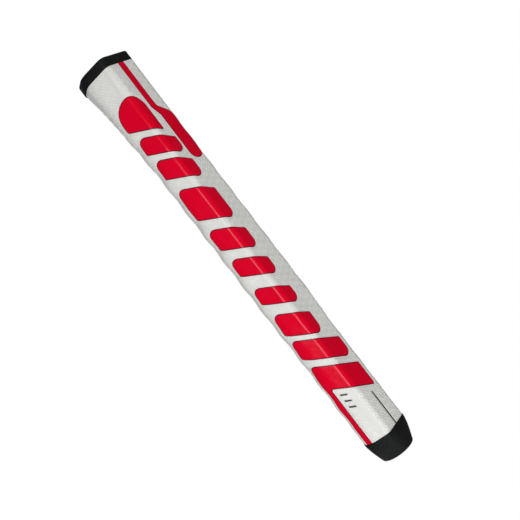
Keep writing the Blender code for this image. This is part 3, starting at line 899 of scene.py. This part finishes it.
def make_butt_cap(material):
    """Rubber cap with a rounded edge, a shallow sunk panel, a ring round the vent, and its plug."""
    values = BUTT_SECTION.copy()
    values[[0, 2]] += CAP_OVERHANG["corner"]
    values[5] += CAP_OVERHANG["side"]
    values[7] += CAP_OVERHANG["back"]
    panel_z = GRIP_TOP - PANEL_DEPTH
    rings = [round_ring(VENT_R, z) for z in (PLUG_BOTTOM, panel_z - 0.3)]
    rings += [round_ring(VENT_R + 0.15, GRIP_TOP - 0.12), round_ring(VENT_R + 0.35, GRIP_TOP)]
    rings += [round_ring(BOSS_R, GRIP_TOP), round_ring(BOSS_R + 0.2, GRIP_TOP - 0.06)]
    rings += [round_ring(BOSS_R + 0.5, panel_z), section_ring(panel_z, PANEL_INSET, values)]
    rings.append(section_ring(GRIP_TOP - 0.05, PANEL_INSET - 0.25, values))
    rings.append(section_ring(GRIP_TOP, PANEL_INSET - 0.4, values))
    for angle in np.radians(np.linspace(90.0, 0.0, 9)):
        out = CAP_EDGE_R * (1.0 - math.cos(angle))
        drop = CAP_EDGE_R * (1.0 - math.sin(angle))
        rings.append(section_ring(GRIP_TOP - drop, out, values))
    for inset, rise in ((0.0, 0.45), (0.05, 0.2), (0.2, 0.05), (0.4, 0.0)):
        rings.append(section_ring(CAP_UNDERSIDE + rise, inset, values))
    rings += [round_ring(PLUG_R, CAP_UNDERSIDE), round_ring(PLUG_R, PLUG_BOTTOM + PLUG_CHAMFER)]
    rings.append(round_ring(PLUG_R - PLUG_CHAMFER, PLUG_BOTTOM))
    cap = ring_loft("rubber_butt_cap", rings, material, 32.0)
    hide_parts("butt_cap")


def make_tip_cap(material):
    """Rubber nose: the section tapers to a round end, and a collar keys into the wrap."""
    like = section_ring(0.0)

    def nose(z, inset=0.0):
        share = ((NOSE_SHOULDER - z) / (NOSE_SHOULDER - LEAD_IN_H)) ** TAPER_POWER
        wide = section_ring(z, inset - NOSE_OVERHANG)
        return wide + (facing_ring(NOSE_END_R - inset, z, like) - wide) * share

    rings = [round_ring(LEAD_IN_R, 0.0), facing_ring(NOSE_LIP_R, 0.0, like)]
    for angle in np.radians((25.0, 50.0, 75.0)):
        out = NOSE_LIP_R + (NOSE_END_R - NOSE_LIP_R) * math.sin(angle)
        rings.append(facing_ring(out, LEAD_IN_H * (1.0 - math.cos(angle)), like))
    rings += [nose(z) for z in np.linspace(LEAD_IN_H, NOSE_SHOULDER - 0.45, 22)]
    rings += [nose(NOSE_SHOULDER - 0.2, 0.05), nose(NOSE_SHOULDER - 0.05, 0.18), nose(NOSE_SHOULDER, 0.35)]
    rings += [section_ring(NOSE_SHOULDER, CORE_OUTSIDE), section_ring(COLLAR_TOP, CORE_OUTSIDE)]
    rings += [round_ring(BORE_MOUTH_R, COLLAR_TOP), round_ring(BORE_MOUTH_R, LEAD_IN_H)]
    rings.append(round_ring(0.5 * (BORE_MOUTH_R + LEAD_IN_R), 0.25))
    cap = ring_loft("rubber_nose", rings, material, 32.0)
    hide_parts("tip_cap")


# ---- Stage ----


# The camera is level with MIDDLE, VIEW_ANGLE to the left of the thumb face, and rolled. Metres.
VIEW_ANGLE = math.radians(48.8)
ROLL = math.radians(37.54)
MIDDLE = Vector((0.0, 0.0, 0.1318))
CAMERA_DISTANCE = 0.4266
CAMERA_ASIDE = 0.00327
FLOOR_HEIGHT = -0.40
FLOOR_R = 0.62
FORWARD = Vector((math.sin(VIEW_ANGLE), math.cos(VIEW_ANGLE), 0.0))
ACROSS = Vector((math.cos(VIEW_ANGLE), -math.sin(VIEW_ANGLE), 0.0))
UP = Vector((0.0, 0.0, 1.0))


def add_camera():
    camera = bpy.data.cameras.new("camera")
    camera.lens = 53.45
    camera.sensor_width = 36.0
    camera.shift_x = 0.0047
    camera.shift_y = -0.0061
    right = math.cos(ROLL) * ACROSS - math.sin(ROLL) * UP
    above = math.sin(ROLL) * ACROSS + math.cos(ROLL) * UP
    holder = bpy.data.objects.new("camera", camera)
    turn = Matrix((right, above, -FORWARD)).transposed().to_4x4()
    place_at = MIDDLE + CAMERA_ASIDE * ACROSS - CAMERA_DISTANCE * FORWARD
    holder.matrix_world = Matrix.Translation(place_at) @ turn
    bpy.context.scene.collection.objects.link(holder)
    bpy.context.scene.camera = holder


def add_light(name, direction, distance, width, height, power):
    """A soft box that faces the middle of the grip. Sizes in metres, power in watts."""
    light = bpy.data.lights.new(name, "AREA")
    light.shape = "RECTANGLE"
    light.size = width
    light.size_y = height
    light.energy = power
    holder = bpy.data.objects.new(name, light)
    towards = Vector(direction).normalized()
    holder.location = MIDDLE + towards * distance
    holder.rotation_euler = towards.to_track_quat("Z", "Y").to_euler()
    bpy.context.scene.collection.objects.link(holder)


def add_world():
    """White to the eye, and a dimmer grey-white as light."""
    world = bpy.data.worlds.new("studio")
    world.use_nodes = True
    tree = world.node_tree
    background = tree.nodes["Background"]
    background.inputs["Color"].default_value = (1.0, 1.0, 1.0, 1.0)
    ray = tree.nodes.new("ShaderNodeLightPath")
    strength = tree.nodes.new("ShaderNodeMapRange")
    strength.inputs["To Min"].default_value = 0.08
    strength.inputs["To Max"].default_value = 1.0
    tree.links.new(ray.outputs["Is Camera Ray"], strength.inputs["Value"])
    tree.links.new(strength.outputs["Result"], background.inputs["Strength"])
    bpy.context.scene.world = world


def add_floor():
    """A wide pale disc below the nose."""
    bm = bmesh.new()
    bmesh.ops.create_circle(bm, cap_ends=True, radius=FLOOR_R, segments=96)
    mesh = bpy.data.meshes.new("floor")
    bm.to_mesh(mesh)
    bm.free()
    paper = Shader("pale_floor", 0.9, 0.1)
    paper.surface.inputs["Base Color"].default_value = (0.85, 0.85, 0.85, 1.0)
    paper.surface.inputs["Emission Color"].default_value = (1.0, 1.0, 1.0, 1.0)
    paper.surface.inputs["Emission Strength"].default_value = 0.4
    mesh.materials.append(paper.material)
    floor = bpy.data.objects.new("floor", mesh)
    floor.location.z = FLOOR_HEIGHT
    bpy.context.scene.collection.objects.link(floor)


def main():
    add_camera()
    add_world()
    add_floor()
    add_light("key", (-0.905, -0.425, -0.12), 0.9, 0.26, 0.6, 6.2)
    add_light("front", (0.20, -0.75, 0.85), 1.8, 0.7, 0.7, 9.7)
    add_light("rear", (0.7, 0.75, 0.4), 1.3, 0.9, 0.9, 6.5)
    bpy.context.scene.view_settings.view_transform = "Standard"
    skin_finish = skin_material()
    red = print_material("red_print", (0.78, 0.0004, 0.024), (0.70, 0.0003, 0.020), 0.20, 0.14)
    # Dark red painted shade for the fields' rounded edges, where they drop into the groove.
    edge_shade = print_material("red_print_edge_shade", (0.11, 0.0006, 0.012), (0.08, 0.0005, 0.009), 0.30, 0.2)
    black = print_material("black_print", (0.012, 0.012, 0.013), (0.018, 0.018, 0.018), 0.35, 0.3)
    rubber = rubber_material()
    outlines = make_fields(skin_finish, red, edge_shade, black)
    make_skin(outlines + dash_outlines() + [sight_line()], skin_finish)
    make_butt_cap(rubber)
    make_tip_cap(rubber)
    make_core(foam_material())
    make_felt(felt_material())
    make_sealant(sealer_material())
    make_thread(thread_material())


main()
